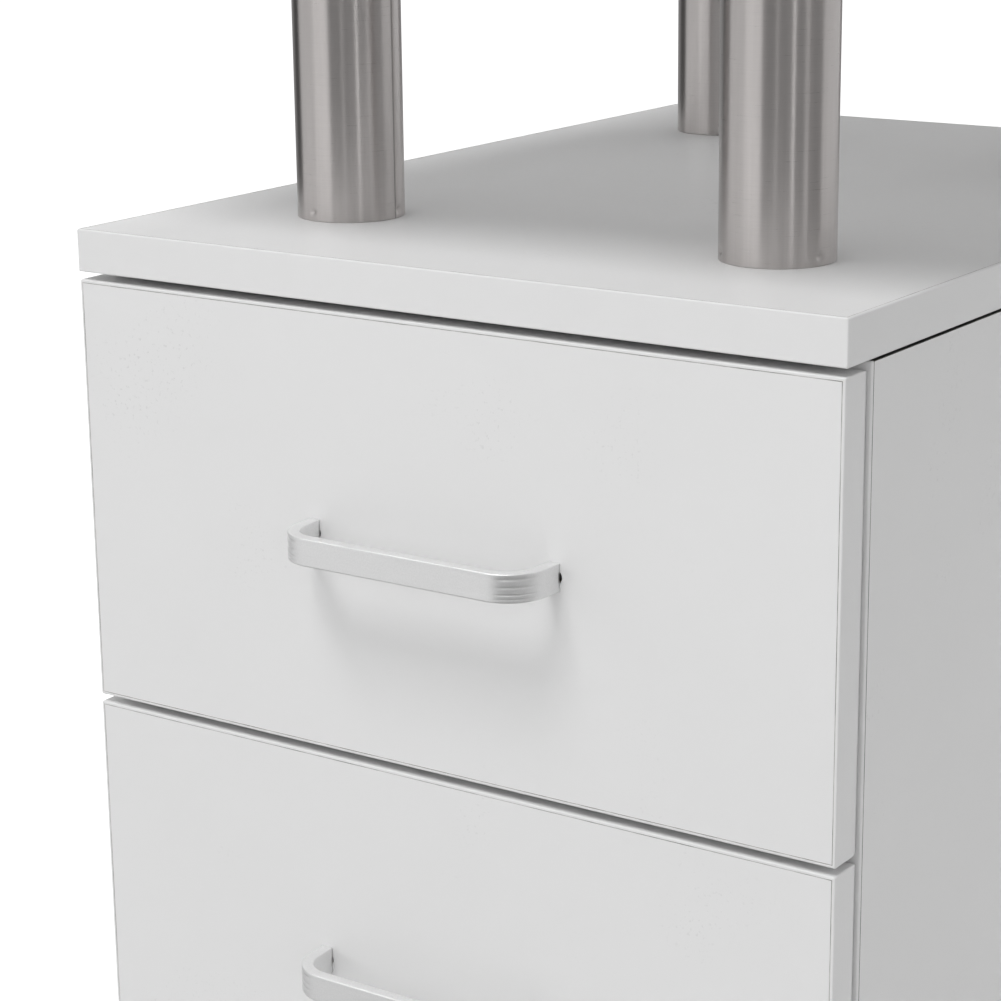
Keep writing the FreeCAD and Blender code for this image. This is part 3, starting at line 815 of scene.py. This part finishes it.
def make_floor():
    """A plain pale floor, white far off because it glows to the eye, but not on the table."""
    bm = bmesh.new()
    bmesh.ops.create_grid(bm, x_segments=8, y_segments=8, size=FLOOR_HALF)
    mesh = bpy.data.meshes.new("floor")
    bm.to_mesh(mesh)
    bm.free()
    made, tree, glowing = material("floor_white", (FLOOR_WHITE,) * 3, 0.9, specular=0.0)
    glowing.inputs["Emission Color"].default_value = (1.0, 1.0, 1.0, 1.0)
    away = add(tree, "ShaderNodeVectorMath", operation="LENGTH")
    tree.links.new(coordinates(tree, "Object", (1.0, FLOOR_STRETCH, 1.0)), away.inputs[0])
    glow = remap(tree, away.outputs["Value"], (FLOOR_NEAR, FLOOR_FAR),
                 (FLOOR_GLOW_NEAR, FLOOR_GLOW_FAR), interpolation_type="SMOOTHSTEP")
    tree.links.new(glow, glowing.inputs["Emission Strength"])
    matt = add(tree, "ShaderNodeBsdfDiffuse", Color=(*(FLOOR_WHITE,) * 3, 1.0))
    path = add(tree, "ShaderNodeLightPath")
    surface = mixed(tree, path.outputs["Is Camera Ray"], matt.outputs[0], glowing.outputs[0])
    tree.links.new(surface, tree.nodes["Material Output"].inputs["Surface"])
    mesh.materials.append(made)
    floor = bpy.data.objects.new("floor", mesh)
    bpy.context.scene.collection.objects.link(floor)
    floor.location.z = CAD_BOUNDS[0][2] - FLOOR_DROP
    floor.visible_glossy = False


def make_world():
    """Soft light, stronger from low down, in a white room that metal mirrors greyer."""
    world = bpy.data.worlds.new("studio")
    bpy.context.scene.world = world
    world.use_nodes = True
    tree = world.node_tree
    seen = tree.nodes["Background"]
    mirrored = add(tree, "ShaderNodeBackground")
    matt = add(tree, "ShaderNodeBackground")
    for each in (seen, mirrored, matt):
        each.inputs["Color"].default_value = (1.0, 1.0, 1.0, 1.0)
    direction = add(tree, "ShaderNodeTexCoord").outputs["Generated"]
    split = add(tree, "ShaderNodeSeparateXYZ")
    tree.links.new(direction, split.inputs[0])
    light = remap(tree, split.outputs["Z"], (SKY_LOW_Z, SKY_HIGH_Z), (SKY_LOW, SKY_HIGH))
    tree.links.new(light, matt.inputs["Strength"])
    toward = add(tree, "ShaderNodeVectorMath", operation="DOT_PRODUCT")
    toward.inputs[1].default_value = DARK_SIDE
    tree.links.new(direction, toward.inputs[0])
    room = remap(tree, toward.outputs["Value"], (DARK_EDGE, DARK_CORE), (SKY_MIRRORED, SKY_DARK))
    tree.links.new(room, mirrored.inputs["Strength"])
    path = add(tree, "ShaderNodeLightPath")
    unseen = mixed(tree, path.outputs["Is Glossy Ray"], matt.outputs[0], mirrored.outputs[0])
    surface = mixed(tree, path.outputs["Is Camera Ray"], unseen, seen.outputs[0])
    tree.links.new(surface, tree.nodes["World Output"].inputs["Surface"])


def make_lamps():
    """Large soft panels round the pedestal, each turned to face it."""
    lo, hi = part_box("cabinet_top_board")
    middle = (lo + hi) / 2
    for name, turn, reach, height, width, tall, radiance, matt, mirrored in LAMPS:
        a = math.radians(turn)
        lamp = bpy.data.lights.new(name, "AREA")
        lamp.shape = "RECTANGLE"
        lamp.size, lamp.size_y = width, tall
        lamp.energy = math.pi * width * tall * radiance
        holder = bpy.data.objects.new(name, lamp)
        bpy.context.scene.collection.objects.link(holder)
        holder.location = (middle.x + reach * math.sin(a), middle.y - reach * math.cos(a), height)
        aim = Vector((middle.x, middle.y, min(height, middle.z))) - holder.location
        holder.rotation_euler = aim.to_track_quat("-Z", "Y").to_euler()
        holder.visible_diffuse = matt
        holder.visible_glossy = mirrored


def make_camera():
    """The photograph's view of the pedestal's upper corner."""
    lo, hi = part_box("cabinet_top_edge_band")
    place = Vector((lo.x + CAMERA_RIGHT, lo.y - CAMERA_FRONT, hi.z + CAMERA_ABOVE))
    pitch, yaw, roll = (math.radians(a) for a in (CAMERA_PITCH, CAMERA_YAW, CAMERA_ROLL))
    level = Vector((math.cos(yaw), math.sin(yaw), 0.0))
    forward = Vector((-math.sin(yaw) * math.cos(pitch), math.cos(yaw) * math.cos(pitch),
                      -math.sin(pitch)))
    upright = level.cross(forward)
    right = level * math.cos(roll) + upright * math.sin(roll)
    up = right.cross(forward)
    camera = bpy.data.cameras.new("camera")
    camera.sensor_width = CAMERA_SENSOR
    camera.lens = CAMERA_LENS
    camera.clip_start = CAMERA_CLIP_START
    holder = bpy.data.objects.new("camera", camera)
    turn = Matrix((right, up, -forward)).transposed()
    holder.matrix_world = Matrix.Translation(place) @ turn.to_4x4()
    bpy.context.scene.collection.objects.link(holder)
    bpy.context.scene.camera = holder


def main():
    rng = random.Random(SEED)
    make_boards()
    for name in DRAWERS:
        make_drawer_front(name)
        make_handle(name, rng)
    make_tubes()
    dress_nodes()
    make_floor()
    make_world()
    make_lamps()
    make_camera()
    view = bpy.context.scene.view_settings
    view.view_transform = "Standard"
    view.look = "None"


main()
